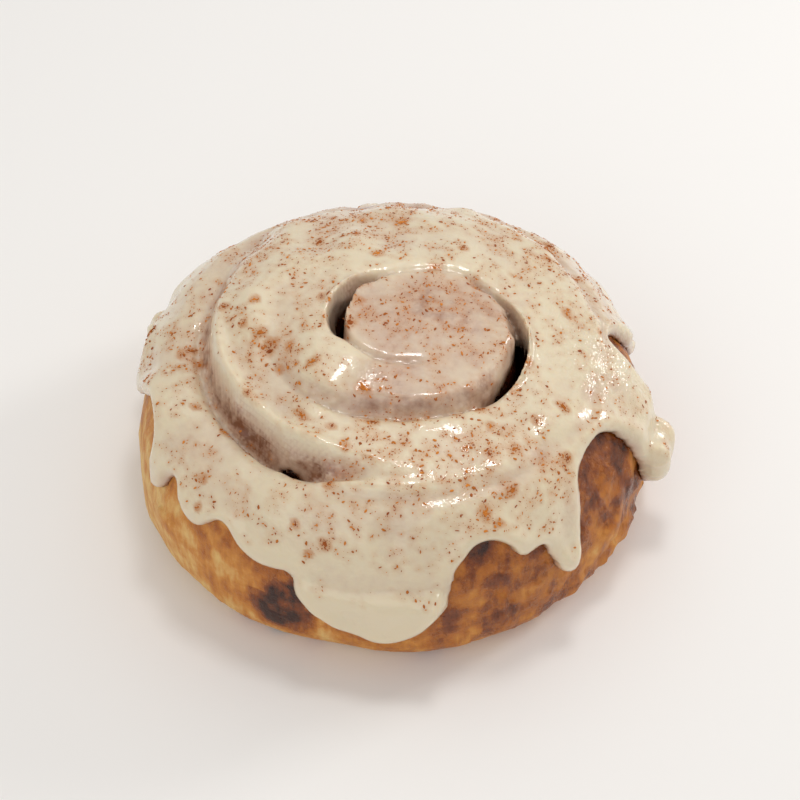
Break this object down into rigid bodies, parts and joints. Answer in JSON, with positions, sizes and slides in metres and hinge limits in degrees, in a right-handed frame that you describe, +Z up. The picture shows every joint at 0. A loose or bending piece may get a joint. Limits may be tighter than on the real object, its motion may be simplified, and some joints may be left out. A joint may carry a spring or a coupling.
{
  "type": "cinnamon roll",
  "caption": "Flat round roll of spiral-wound dough with a cinnamon filling in its seam, under glossy cream icing that drips down the sides, dusted with cinnamon.",
  "frame": {"origin": "on the base, under the middle of the roll's outline", "axes": "+Z up out of the iced top, +Y away from the side that is seen first, +X to that view's right"},
  "size_m": [0.1195, 0.117, 0.056],
  "materials": {
    "dough": "baked dough, golden and soft, browned to a glossy crust on one side",
    "filling": "dark moist cinnamon and sugar",
    "icing": "glossy cream icing dusted with cinnamon"
  },
  "bodies": {
    "root": {"dough": "dough", "filling": "filling", "icing": "icing"}
  },
  "joints": []
}
